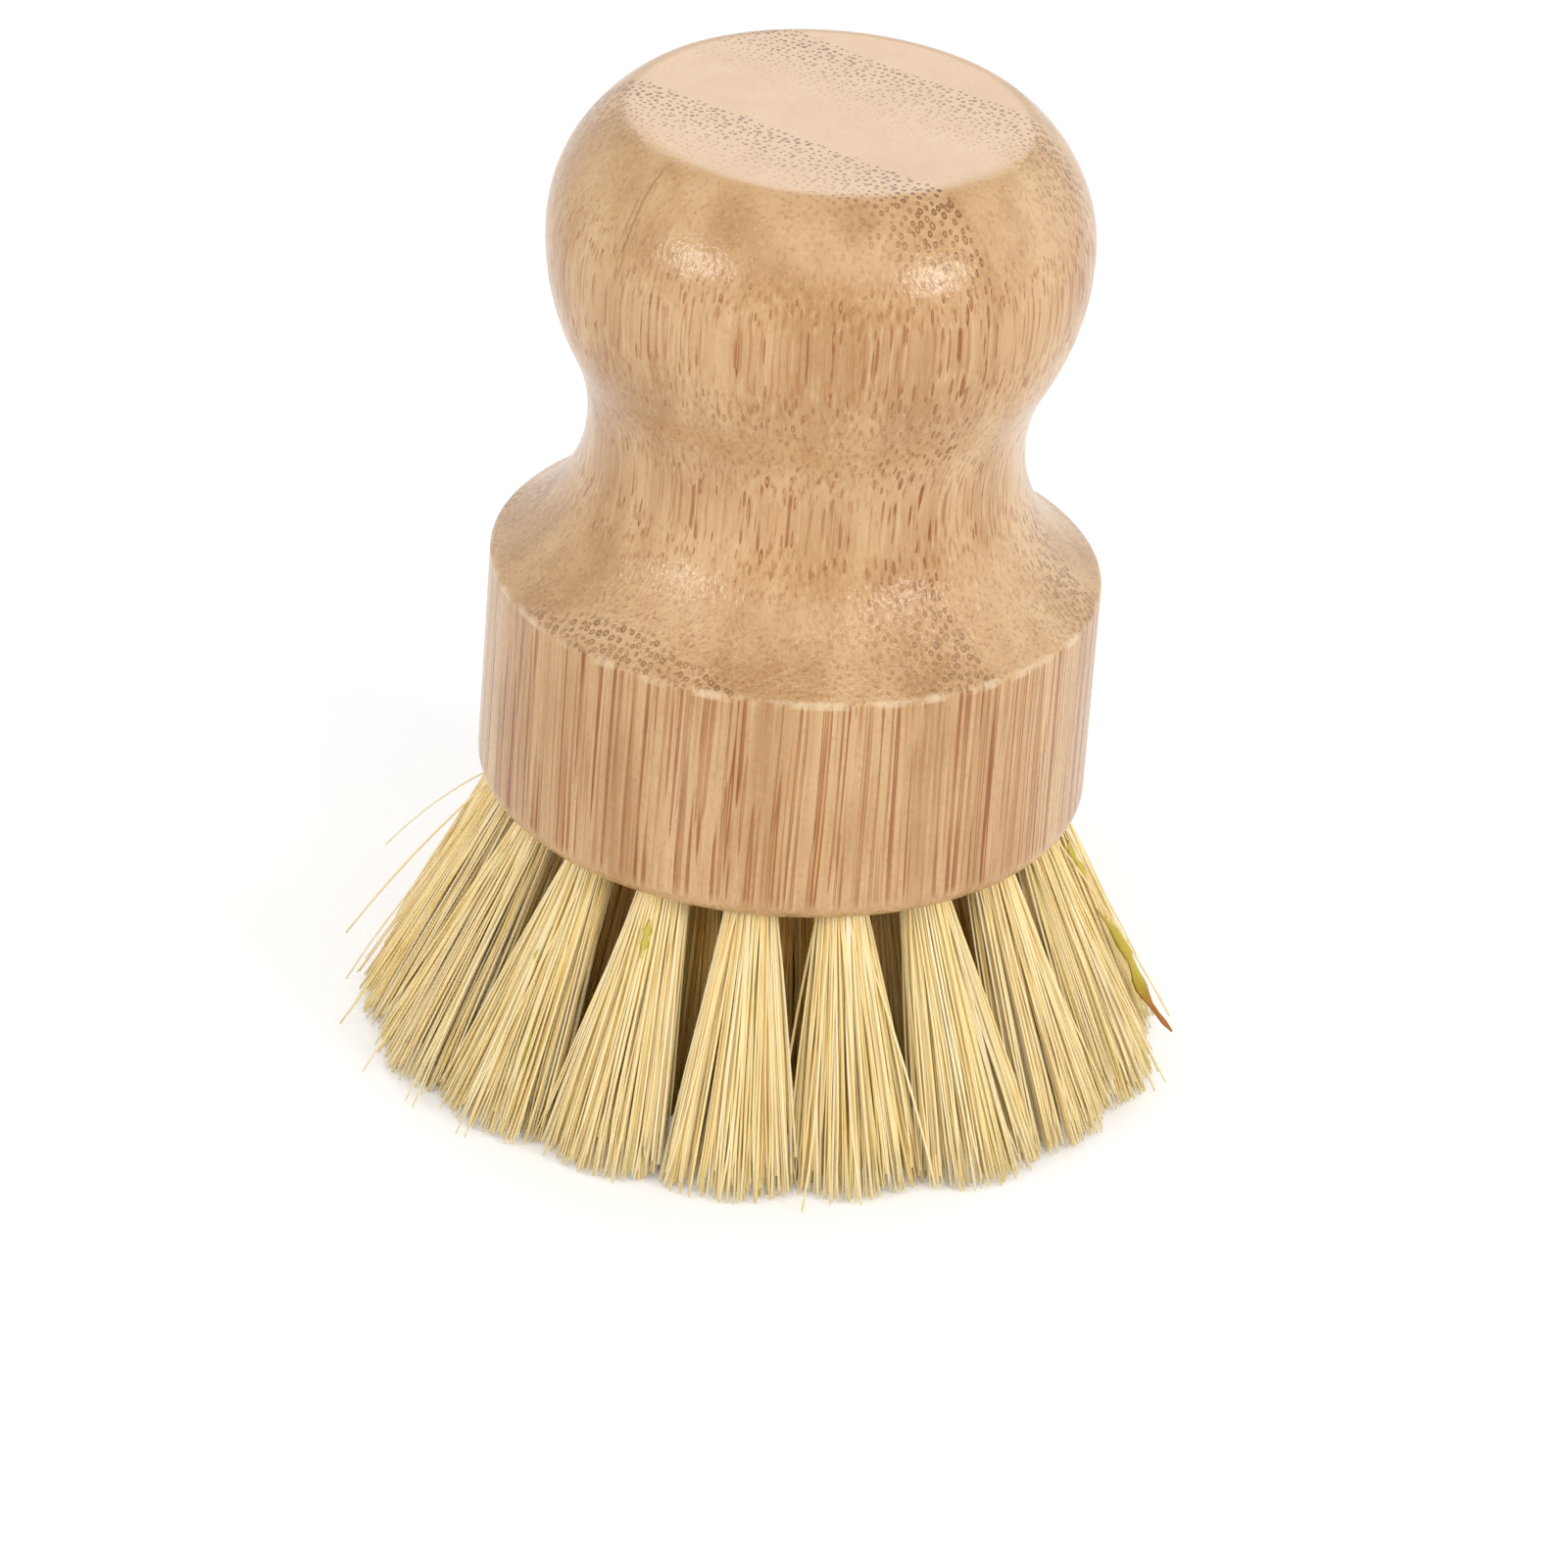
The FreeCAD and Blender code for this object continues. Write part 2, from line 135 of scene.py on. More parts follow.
class Ring:
    """A ring of tufts: where they leave the wood, how they lean, and how far their tips spread."""

    def __init__(self, step, name):
        self.name = name
        self.count = RING_COUNTS[name]
        share = step / (len(RING_COUNTS) - 1)
        self.lean = share * OUTER_LEAN
        self.exit_radius = share * (band_radius - RIM_WIDTH)
        self.tip_radius = self.exit_radius + foot_z * math.tan(self.lean)
        self.along = np.array([-math.sin(self.lean), 0, math.cos(self.lean)])
        self.across = np.array([math.cos(self.lean), 0, math.sin(self.lean)])

    def tip_half_width(self):
        if self.count > 1:
            return self.tip_radius * math.sin(math.pi / self.count) - TIP_GAP / 2
        return (self.exit_radius + TIP_DEPTH) / 2 + TIP_GAP / 2

    def tuft_node(self, index):
        return f"{self.name}_tuft" if self.count == 1 else f"{self.name}_tuft_{index + 1:02d}"

    def staple_node(self):
        return f"{self.name}_staple" if self.count == 1 else f"{self.name}_staples"

    def in_hole(self, across, around, level):
        """Points of the first hole, measured from its mouth across, around the ring and up into the wood."""
        mouth = np.array([self.exit_radius, 0, foot_z])
        sideways = np.stack([np.zeros_like(around), around, np.zeros_like(around)], axis=-1)
        return mouth + across[..., None] * self.across + sideways + level[..., None] * self.along


def half_disc(rng, count):
    """Even places in the half of a unit disc that lies on one side of its middle line."""
    step = np.arange(2 * count)
    radius = np.sqrt((step + 0.5) / (2 * count))
    angle = step * math.pi * (3 - math.sqrt(5))  # steps of the golden angle
    across = radius * np.cos(angle)
    around = radius * np.sin(angle)
    above = np.argsort(-around)[:count]
    order = rng.permutation(above)
    return across[order], np.abs(around[order])


def pull_to_clumps(rng, spots):
    """Moves places of a unit disc towards a few random middles, as damp-set fibres gather."""
    angle = rng.uniform(0, math.tau, CLUMPS)
    radius = np.sqrt(rng.uniform(0, CLUMP_AREA_SHARE, CLUMPS))
    middles = np.stack([radius * np.cos(angle), radius * np.sin(angle)], axis=1)
    nearest = np.argmin(np.linalg.norm(spots[:, None] - middles[None], axis=2), axis=1)
    return spots + CLUMP_PULL_SHARE * (middles[nearest] - spots)


def tip_points(rng, ring, spots, sway, radii):
    """Where the fibres end, near the trimmed plane."""
    count = len(spots)
    fanned = spots * np.linalg.norm(spots, axis=1, keepdims=True) ** (TIP_FAN_POWER - 1)
    gathered = pull_to_clumps(rng, fanned) * TIP_SPREAD_SHARES
    loose = rng.uniform(size=count) < STRAY_SHARE
    aside = np.clip(rng.normal(size=(count, 2)), -STRAY_MOST, STRAY_MOST)
    reach = np.where(loose, STRAY_REACH, TIP_JITTER)[:, None] * aside
    rise = np.minimum(rng.exponential(TIP_RISE, count), TIP_RISE_MOST * TIP_RISE)
    return np.stack([
        ring.tip_radius + TIP_DEPTH / 2 * gathered[:, 0] + reach[:, 0] + sway[0],
        ring.tip_half_width() * gathered[:, 1] + reach[:, 1] + sway[1],
        rise + radii,
    ], axis=1)


def bezier(share, first, second, third, fourth):
    rest = 1 - share
    return rest**3 * first + 3 * rest**2 * share * second + 3 * rest * share**2 * third + share**3 * fourth


def arm_points(rng, ring, spots, tips, radii):
    """Points along the free arms of fibres, from their tips up to the hole's mouth, and a little way in."""
    count = len(spots)
    packed = (HOLE_RADIUS - WALL_ROOM * radii[:, None]) * spots
    mouths = ring.in_hole(packed[:, 0], packed[:, 1], np.zeros(count))
    middle = tips.mean(axis=0) - mouths.mean(axis=0)
    spread = tips - mouths - middle
    high = mouths + middle / 3 + FLARE_SHARES[0] * spread
    low = mouths + middle * 2 / 3 + FLARE_SHARES[1] * spread
    high[:, :2] += rng.normal(scale=BOW / 2, size=(count, 2))
    low[:, :2] += rng.normal(scale=BOW, size=(count, 2))
    share = np.linspace(0, 1, ARM_POINTS)[None, :, None]
    free = bezier(share, tips[:, None], low[:, None], high[:, None], mouths[:, None])
    inside = ring.in_hole(packed[:, 0], packed[:, 1], np.full(count, CROWN_LEVEL / 2))
    return np.concatenate([free, inside[:, None]], axis=1)


def fold_points(ring, across, around, radii):
    """Points of the folds over the staple's crown. The widest loops pass highest."""
    clear = WIRE_RADIUS + WIRE_ROOM * radii
    wide = clear + around * (HOLE_RADIUS - clear - WALL_ROOM * radii)
    high = clear + around * (HOLE_RADIUS - WIRE_RADIUS) / LOOP_FLATNESS
    narrow = across * (LEG_ROOM - WIRE_ROOM * radii)
    turn = np.linspace(0, math.pi, FOLD_POINTS)[None]
    sideways = wide[:, None] * np.cos(turn)
    level = CROWN_LEVEL + high[:, None] * np.sin(turn)
    return ring.in_hole(np.repeat(narrow[:, None], FOLD_POINTS, axis=1), sideways, level)


def fibre_paths(rng, ring, radii, lean, wild_tips):
    """Points along each folded fibre of a tuft on the X side, from one tip over the staple to the other."""
    across, around = half_disc(rng, FOLDED_FIBRES)
    sway = rng.normal(scale=SWAY, size=2) + lean
    arms = []
    for side in (1, -1):
        spots = np.stack([across, side * around], axis=1)
        tips = tip_points(rng, ring, spots, sway, radii)
        if side == 1 and wild_tips:
            outermost = np.argsort(-across)[:len(wild_tips)]
            tips[outermost] = wild_tips
        arms.append(arm_points(rng, ring, spots, tips, radii))
    return np.concatenate([arms[0], fold_points(ring, across, around, radii), arms[1][:, ::-1]], axis=1)


def tube_mesh(name, paths, widths, depths, normal, looks):
    """Closed oval tubes along the paths. The normal is a direction that no path runs along."""
    fibres, points, _ = paths.shape
    tangent = np.gradient(paths, axis=1)
    tangent /= np.linalg.norm(tangent, axis=2, keepdims=True)
    side = np.cross(tangent, normal)
    side /= np.linalg.norm(side, axis=2, keepdims=True)
    lift = np.cross(side, tangent)
    angle = (np.arange(FIBRE_SIDES) * math.tau / FIBRE_SIDES)[None, None, :, None]
    sideways = np.cos(angle) * (widths[..., None] * side)[:, :, None]
    upwards = np.sin(angle) * (depths[..., None] * lift)[:, :, None]
    rings = paths[:, :, None] + sideways + upwards
    corner = np.arange(fibres * points * FIBRE_SIDES).reshape(fibres, points, FIBRE_SIDES)
    beside = np.roll(corner, -1, axis=2)
    walls = np.stack([corner[:, :-1], corner[:, 1:], beside[:, 1:], beside[:, :-1]], axis=-1).reshape(-1, 4)
    ends = np.concatenate([corner[:, 0], corner[:, -1, ::-1]])
    mesh = bpy.data.meshes.new(name)
    mesh.from_pydata(rings.reshape(-1, 3).tolist(), [], walls.tolist() + ends.tolist())
    mesh.polygons.foreach_set("use_smooth", np.arange(len(mesh.polygons)) < len(walls))
    for key, values in looks.items():
        spread = np.broadcast_to(values, (fibres, points))
        mesh.attributes.new(key, "FLOAT", "POINT").data.foreach_set("value", np.repeat(spread, FIBRE_SIDES))
    return mesh


def add_piece(name, mesh, material):
    mesh.materials.append(material)
    piece = bpy.data.objects.new(name, mesh)
    bpy.context.collection.objects.link(piece)
    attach(piece, "root")
    return piece


def add_tuft(ring, index, material):
    node = ring.tuft_node(index)
    rng = np.random.default_rng(RING_SEED_STEP * ring.count + index)
    radii = rng.uniform(*FIBRE_RADII, FOLDED_FIBRES)
    # The inner rings' fibres get a lower tint as painted shade, so the gaps between the outer tufts look
    # dark brown.
    tint = 0 if ring.name == "outer" else INNER_RING_PAINTED_SHADE
    looks = {
        "tint": tint + rng.beta(*TINT_SPREAD, FOLDED_FIBRES)[:, None],
        "green": rng.beta(*GREEN_SPREAD, FOLDED_FIBRES)[:, None],
    }
    paths = fibre_paths(rng, ring, radii, LEANS.get(node, (0, 0)), WILD_TIPS.get(node, []))
    from_tip = np.minimum(np.arange(paths.shape[1]), np.arange(paths.shape[1])[::-1])
    taper = TIP_TAPER_SHARE + (1 - TIP_TAPER_SHARE) * np.minimum(from_tip / ARM_POINTS, 1)
    widths = radii[:, None] * taper
    mesh = tube_mesh(node + "_fibres", paths, widths, FLATNESS_SHARE * widths, ring.across, looks)
    mesh.transform(Matrix.Rotation(index * math.tau / ring.count, 4, "Z"))
    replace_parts(add_piece(node + "_fibres", mesh, material), node)


def loose_sliver(rng, ring):
    """A sliver that lies along the outer face of some tuft, in the form of the listed ones."""
    angle = math.tau * rng.integers(ring.count) / ring.count + rng.normal(scale=LOOSE_PLACE_SPREAD)
    turn = rng.normal(scale=LOOSE_TURN_SPREAD)
    length = rng.uniform(*LOOSE_LENGTHS)
    low = rng.uniform(*LOOSE_LOW_SHARES) * foot_z
    ends = []
    for height in (low + length * math.cos(ring.lean), low):
        drop = 1 - height / foot_z
        reach = HOLE_RADIUS + drop * (TIP_SPREAD_SHARES[0] * TIP_DEPTH / 2 - HOLE_RADIUS)
        ends.append((ring.exit_radius + drop * foot_z * math.tan(ring.lean) + reach, height))
    return angle, turn, *ends, rng.uniform(*LOOSE_HALF_WIDTHS), rng.uniform()**LOOSE_BROWNING_POWER


def add_slivers(ring, material):
    rng = np.random.default_rng(SLIVER_SEED)
    rows = SLIVERS + [loose_sliver(rng, ring) for _ in range(LOOSE_SLIVERS)]
    angle, turn, top, low, half_width, browning = (np.array(column)[:, None] for column in zip(*rows))
    share = np.linspace(0, 1, SLIVER_POINTS)[None]
    middle = top + share[..., None] * (low - top)
    bow = rng.normal(scale=SLIVER_BOW, size=angle.shape) * np.sin(math.tau * share)
    radius = middle[..., 0] + bow
    paths = np.stack([radius * np.cos(angle), radius * np.sin(angle), middle[..., 1]], axis=2)
    face = angle + turn
    normal = np.stack([np.cos(face), np.sin(face), np.full_like(face, SLIVER_FACE_RISE)], axis=2)
    wave = np.cos(math.tau * (share - SWELL_START_SHARE) / SWELL_STEP_SHARE)
    swell = 1 - SWELL_SHARE + SWELL_SHARE * wave
    taper = np.sqrt(np.maximum(np.sin(math.pi * share), SLIVER_END_SHARE))
    looks = {"dry": browning * np.clip((share - DRY_START_SHARE) / DRY_FADE_SHARE, 0, 1)}
    depths = SLIVER_HALF_DEPTH * np.ones_like(half_width) * taper
    mesh = tube_mesh("leaf_slivers", paths, half_width * swell * taper, depths, normal, looks)
    add_piece("leaf_slivers", mesh, material)


# Materials. A scale is in features per millimetre. A step holds the values between which a mask goes,
# and what it goes from and to, if that isn't 0 and 1. A slope holds a gain and what it adds to.
MILLIMETRES = 1000
NOISE_MIDDLE = 0.5
PLAIN_DETAIL = 1.0
USUAL_DETAIL = 2.0
FINE_DETAIL = 3.0
FINEST_DETAIL = 4.0


def opaque(colour):
    """The colour with an alpha of 1, or another node's output as it is."""
    return (*colour, 1) if isinstance(colour, tuple) else colour


class Nodes:
    """Short ways to add nodes to a tree and link them."""

    def __init__(self, tree):
        self.tree = tree

    def feed(self, node, inputs):
        """Each input is a plain value or another node's output."""
        for key, value in inputs.items():
            if isinstance(value, bpy.types.NodeSocket):
                self.tree.links.new(value, node.inputs[key])
            else:
                node.inputs[key].default_value = value

    def finish(self, inputs):
        self.feed(self.tree.nodes["Principled BSDF"], inputs)

    def add(self, kind, inputs, **settings):
        node = self.tree.nodes.new("ShaderNode" + kind)
        for name, value in settings.items():
            setattr(node, name, value)
        self.feed(node, inputs)
        return node

    def math(self, operation, *values):
        return self.add("Math", dict(enumerate(values)), operation=operation).outputs[0]

    def product(self, first, *others):
        for other in others:
            first = self.math("MULTIPLY", first, other)
        return first

    def plus(self, value, gain, base):
        """The base, and the gain times the value."""
        return self.math("MULTIPLY_ADD", value, gain, base)

    def rest(self, value):
        return self.math("SUBTRACT", 1.0, value)

    def blend(self, share, first, second):
        """Goes from the first value to the second as the share goes from 0 to 1."""
        return self.plus(share, self.math("SUBTRACT", second, first), first)

    def vector(self, operation, *values):
        return self.add("VectorMath", dict(enumerate(values)), operation=operation).outputs[0]

    def dot(self, first, second):
        inputs = {0: first, 1: second}
        return self.add("VectorMath", inputs, operation="DOT_PRODUCT").outputs["Value"]

    def step(self, value, low, high, start=0.0, end=1.0):
        """Goes smoothly from start to end as the value goes from low to high."""
        inputs = {"Value": value, "From Min": low, "From Max": high, "To Min": start, "To Max": end}
        return self.add("MapRange", inputs, interpolation_type="SMOOTHSTEP").outputs[0]

    def noise(self, place, scale, detail=USUAL_DETAIL, output="Fac"):
        """The scale is one number or one along each axis."""
        if isinstance(scale, tuple):
            place = self.vector("MULTIPLY", place, scale)
            scale = 1.0
        return self.add("TexNoise", {"Vector": place, "Scale": scale, "Detail": detail}).outputs[output]

    def mix(self, share, first, second):
        inputs = {0: share, 6: opaque(first), 7: opaque(second)}
        return self.add("Mix", inputs, data_type="RGBA").outputs[2]

    def paint(self, colour, mark, cover, tint):
        """The colour under a mark of another tint, which covers it at most by the given share."""
        return self.mix(self.product(mark, cover), colour, tint)

    def ramp(self, value, stops):
        node = self.add("ValToRGB", {"Fac": value})
        elements = node.color_ramp.elements
        while len(elements) < len(stops):
            elements.new(0.5)
        for element, (position, colour) in zip(elements, stops):
            element.position = position
            element.color = opaque(colour)
        return node.outputs["Color"]

    def attribute(self, name):
        return self.add("Attribute", {}, attribute_name=name).outputs["Fac"]

    def upward(self, vector):
        return self.add("SeparateXYZ", {0: vector}).outputs[2]

    def millimetres(self):
        place = self.add("TexCoord", {}).outputs["Object"]
        return self.vector("MULTIPLY", place, (MILLIMETRES, MILLIMETRES, MILLIMETRES))

    def bump(self, height, strength, distance):
        inputs = {"Height": height, "Strength": strength, "Distance": distance}
        return self.add("Bump", inputs).outputs["Normal"]

    def seen_directly(self):
        """1 for what the camera sees, straight or in a reflection or through glass."""
        seen = self.add("LightPath", {}).outputs
        direct = self.math("MAXIMUM", seen["Is Camera Ray"], seen["Is Glossy Ray"])
        return self.math("MAXIMUM", direct, seen["Is Transmission Ray"])


def new_material(name):
    material = bpy.data.materials.new(name)
    material.use_nodes = True
    return material, Nodes(material.node_tree)


# Parts of the handle, by how far its face looks up or down and by the height over the foot
SIDE_STEP = (0.20, 0.65, 1.0, 0.0)
FLAT_STEP = (0.88, 0.99)
PLAIN_RIM_STEP = (1.0, 2.6)
BAND_STEP = (20.5, 21.5, 1.0, 0.0)
SHOULDER_STEP = (22.0, 32.0, 1.0, 0.0)
PEBBLED_STEP = (0.10, 0.75, 0.4, 1.0)
FLAT_PEBBLED_SLOPE = (-0.8, 1.0)
SHOULDER_PEBBLED_SLOPE = (0.35, 1.0)

# Bamboo strips glued side by side, with bundles crowding to one side of each
STRIP_TURN = math.radians(50)  # from X to the line across the strips
STRIP_WIDTH = 17.0
STRIP_START = -6.3
STRIP_EDGE = 0.7
DRIFT_SCALE = (0.09, 0.09, 0.03)
DRIFT_REACH = (1.4, 1.4, 0)
CROWD_DEPTH = 13.0
CROWD_PATCH_SCALE = 0.12
CROWD_PATCH_STEP = (0.3, 0.55, 0.75, 1.0)

# Cut bundles, by their distance from the middle in radii
CORE_STEP = (0.30, 0.60, 1.0, 0.0)
BUNDLE_STEP = (0.88, 1.10, 1.0, 0.0)
BUNDLE_STRENGTH_SLOPE = (0.4, 0.6)
CROWDED_PITCH = 0.66
CROWDED_RADII = (0.10, 0.17)
CROWDED_VARIETY = 0.6
CROWDED_UNEVENNESS = 0.65
CROWDED_KEPT_SLOPE = (0.40, 0.70)
CROWDED_DEPTH_SLOPE = (1.10, 0.12)
SIDE_CROWD = 0.65
RING_WIDTH_SLOPE = (0.35, 1.0)
RING_CORE_SLOPE = (-0.45, 0.8)
SHOULDER_RING_SLOPE = (-0.25, 1.0)
OPEN_PITCH = 0.72
OPEN_RADII = (0.10, 0.17)
OPEN_VARIETY = 1.2
OPEN_UNEVENNESS = 0.85
OPEN_KEPT_SLOPE = (0.35, 0.50)
BAND_STREAK_SCALE = (0.7, 0.7, 0.07)
BAND_STREAK_STEP = (0.32, 0.52, 0.55, 1.0)
TURNED_STREAK_SCALE = (1.3, 1.3, 0.30)
TURNED_STREAK_STEP = (0.40, 0.54, 0.12, 1.0)

# Single fibres between the bundles, and the pebbled face that the lathe leaves
LINE_SCALE = (3.0, 3.0, 0.05)
DARK_LINE_STEP = (0.52, 0.67)
PALE_LINE_STEP = (0.46, 0.28)
PEBBLE_SCALE = (2.7, 2.7, 1.7)
DARK_PEBBLE_STEP = (0.54, 0.74)
PALE_PEBBLE_STEP = (0.46, 0.26)

# A fine crack down the knob, small flecks, and a pale line on the band's upper edge that is partly wear and
# partly a painted highlight
CRACK_START = Vector((-14.2, -10.6, 85.2))
CRACK_END = Vector((-17.2, -13.6, 78.0))
CRACK_TWIN_GAP = 0.6
CRACK_WOBBLE = 0.5
CRACK_WOBBLE_SCALE = 0.5
CRACK_STEP = (0.06, 0.16, 1.0, 0.0)
CRACK_TWIN_STEP = (0.05, 0.14, 0.7, 0.0)
CRACK_TWIN_START_STEP = (0.3, 0.45)
CRACK_NEAR_SIDE_STEP = (8.0, 10.0)
CRACK_TOP_STEP = (0.0, 0.1)
CRACK_FOOT_STEP = (0.9, 1.0, 1.0, 0.0)
FLECK_PITCH = 7.0
FLECK_REACH_SHARE = 0.13  # of the pitch
FLECK_EDGE_SCALE = 1.5
FLECK_STEP = (0.3, 1.0, 1.0, 0.0)
FLECK_KEPT_SHARE = 0.2
EDGE_LEVEL = 20.8
EDGE_STEP = (0.15, 0.5, 1.0, 0.0)
WEAR_AND_HIGHLIGHT_SCALE = 0.35
WEAR_AND_HIGHLIGHT_STEP = (0.4, 0.65)

# Amber clouds of varnish, and the wood's tones from dark to pale
CLOUD_SCALE = (0.12, 0.12, 0.07)
CLOUD_SHARE = 0.55
TONE_SCALE = (0.3, 0.3, 0.012)
TONE_SHARE = 0.45
FLAT_TONE = 0.475
FLAT_CALM_SHARE = 0.7
DARK_STRIP = -0.045
WOOD_TONES = [
    (0.34, (0.485, 0.268, 0.110)),
    (0.49, (0.61, 0.370, 0.175)),
    (0.63, (0.69, 0.452, 0.240)),
]

# Marks on the wood: the share that each covers at most, and its colour
PALE_LINE = (0.40, (0.78, 0.55, 0.31))
PALE_PEBBLE = (0.22, (0.79, 0.56, 0.31))
DARK_LINE = (0.66, (0.40, 0.165, 0.045))
DARK_PEBBLE = (0.52, (0.36, 0.170, 0.055))
AMBER_CORE = (0.60, (0.60, 0.265, 0.060))
# a pale line on the band's rounded upper edge: wear and a painted highlight
WORN_EDGE_AND_PAINTED_HIGHLIGHT = (0.5, (0.86, 0.68, 0.45))
FLAW = (0.48, (0.22, 0.095, 0.028))
FLAT_BUNDLE = (0.15, 0.052, 0.014)
SLOPE_BUNDLE = (0.24, 0.110, 0.032)
SIDE_BUNDLE = (0.30, 0.088, 0.016)

# Roughness and relief of the wood
PEBBLE_ROUGHNESS_SLOPE = (0.30, 0.25)
STREAK_ROUGHNESS = 0.12
PEBBLE_HEIGHT_SLOPE = (2.6, 1.6)
LINE_HEIGHT = 0.25
STREAK_HEIGHT = -0.30
FLAW_HEIGHT = -0.50
WOOD_RELIEF = (1.0, 0.00005)


class Wood:
    """Where a point of the handle lies, and masks for how its face looks and which part it is on."""

    def __init__(self, nodes):
        self.place = nodes.millimetres()
        self.grain = culm_grain(nodes, self.place)
        self.turns = strip_turns(nodes, self.grain)
        normal = nodes.add("NewGeometry", {}).outputs["Normal"]
        upright = nodes.math("ABSOLUTE", nodes.upward(normal))
        self.side = nodes.step(upright, *SIDE_STEP)
        self.flat = nodes.step(upright, *FLAT_STEP)
        self.sloped = nodes.product(nodes.rest(self.flat), nodes.rest(self.side))
        self.over_foot = nodes.math("SUBTRACT", nodes.upward(self.place), MILLIMETRES * foot_z)
        self.grained = nodes.step(self.over_foot, *PLAIN_RIM_STEP)
        self.on_band = nodes.step(self.over_foot, *BAND_STEP)
        self.on_shoulder = nodes.step(self.over_foot, *SHOULDER_STEP)
        on_flat = nodes.plus(self.flat, *FLAT_PEBBLED_SLOPE)
        on_shoulder = nodes.plus(self.on_shoulder, *SHOULDER_PEBBLED_SLOPE)
        self.pebbled = nodes.product(nodes.step(upright, *PEBBLED_STEP), on_flat, on_shoulder)


def culm_grain(nodes, place):
    """Places across the strips, along them and up the handle. The bundles that run up it drift a little."""
    strips = nodes.add("Mapping", {"Vector": place, "Rotation": (0, 0, -STRIP_TURN)}).outputs[0]
    drift = nodes.noise(strips, DRIFT_SCALE, PLAIN_DETAIL, "Color")
    drift = nodes.vector("SUBTRACT", drift, (NOISE_MIDDLE, NOISE_MIDDLE, NOISE_MIDDLE))
    return nodes.vector("ADD", strips, nodes.vector("MULTIPLY", drift, DRIFT_REACH))


def strip_turns(nodes, grain):
    """Whole numbers at the glue lines, one more for each strip."""
    across = nodes.add("SeparateXYZ", {0: grain}).outputs[0]
    return nodes.math("DIVIDE", nodes.math("SUBTRACT", across, STRIP_START + STRIP_EDGE), STRIP_WIDTH)


def bundle_crowd(nodes, wood):
    """1 where bundles crowd at one side of a strip, fading to 0 across it."""
    short_of_edge = nodes.product(nodes.rest(nodes.math("FRACT", wood.turns)), STRIP_WIDTH)
    crowd = nodes.step(short_of_edge, STRIP_EDGE, CROWD_DEPTH, 1.0, 0.0)
    edge = nodes.step(short_of_edge, 0.0, STRIP_EDGE)
    patches = nodes.step(nodes.noise(wood.grain, CROWD_PATCH_SCALE), *CROWD_PATCH_STEP)
    return nodes.product(crowd, edge, patches)


def bundle_marks(nodes, grain, pitch, radius, variety, kept, unevenness):
    """Rims and cores of cut bundles: dots and rings on end grain, streaks and twin lines on side grain."""
    inputs = {"Vector": grain, "Scale": 1 / pitch, "Randomness": unevenness}
    cells = nodes.add("TexVoronoi", inputs, voronoi_dimensions="2D")
    chance = nodes.add("SeparateColor", {0: cells.outputs["Color"]}).outputs
    size = nodes.product(nodes.plus(chance[1], variety, 1 - variety / 2), radius)
    reach = nodes.math("DIVIDE", nodes.product(cells.outputs["Distance"], pitch), size)
    core = nodes.step(reach, *CORE_STEP)
    rim = nodes.math("SUBTRACT", nodes.step(reach, *BUNDLE_STEP), core)
    shown = nodes.math("LESS_THAN", chance[0], kept)
    shown = nodes.product(shown, nodes.plus(chance[2], *BUNDLE_STRENGTH_SLOPE))
    return nodes.product(rim, shown), nodes.product(core, shown)


def crowded_bundles(nodes, wood):
    """Dots that crowd to one side of a strip: wider rings on the slopes, and streaks on the sides."""
    strip_crowd = bundle_crowd(nodes, wood)
    crowd = nodes.math("MAXIMUM", strip_crowd, nodes.product(wood.side, SIDE_CROWD))
    narrow, wide = CROWDED_RADII
    radius = nodes.plus(strip_crowd, wide - narrow, narrow)
    radius = nodes.product(radius, nodes.plus(wood.sloped, *RING_WIDTH_SLOPE))
    kept = nodes.plus(crowd, *CROWDED_KEPT_SLOPE)
    rim, core = bundle_marks(
        nodes, wood.grain, CROWDED_PITCH, radius, CROWDED_VARIETY, kept, CROWDED_UNEVENNESS)
    marks = nodes.plus(core, nodes.plus(wood.sloped, *RING_CORE_SLOPE), rim)
    marks = nodes.product(marks, nodes.plus(crowd, *CROWDED_DEPTH_SLOPE))
    on_slope = nodes.product(wood.sloped, wood.on_shoulder)
    return nodes.product(marks, nodes.plus(on_slope, *SHOULDER_RING_SLOPE))


def open_bundles(nodes, wood):
    """Rims and cores of the bundles that stand apart, wider and more of them on the band."""
    narrow, wide = OPEN_RADII
    radius = nodes.plus(wood.on_band, wide - narrow, narrow)
    kept = nodes.plus(wood.on_band, *OPEN_KEPT_SLOPE)
    return bundle_marks(nodes, wood.grain, OPEN_PITCH, radius, OPEN_VARIETY, kept, OPEN_UNEVENNESS)


def streak_lengths(nodes, wood):
    """1 where streaks show: long ones on the band, short ones on the turned sides, and all else whole."""
    long = nodes.step(nodes.noise(wood.grain, BAND_STREAK_SCALE, PLAIN_DETAIL), *BAND_STREAK_STEP)
    short = nodes.step(nodes.noise(wood.grain, TURNED_STREAK_SCALE, PLAIN_DETAIL), *TURNED_STREAK_STEP)
    return nodes.math("MAXIMUM", nodes.blend(wood.on_band, short, long), nodes.rest(wood.side))


def bundle_streaks(nodes, wood):
    """The dark marks of all bundles, and the amber cores of the open ones."""
    rim, core = open_bundles(nodes, wood)
    dark = nodes.math("MAXIMUM", crowded_bundles(nodes, wood), nodes.product(rim, wood.side))
    dark = nodes.product(dark, streak_lengths(nodes, wood), wood.grained)
    return dark, nodes.product(core, wood.side, wood.grained)


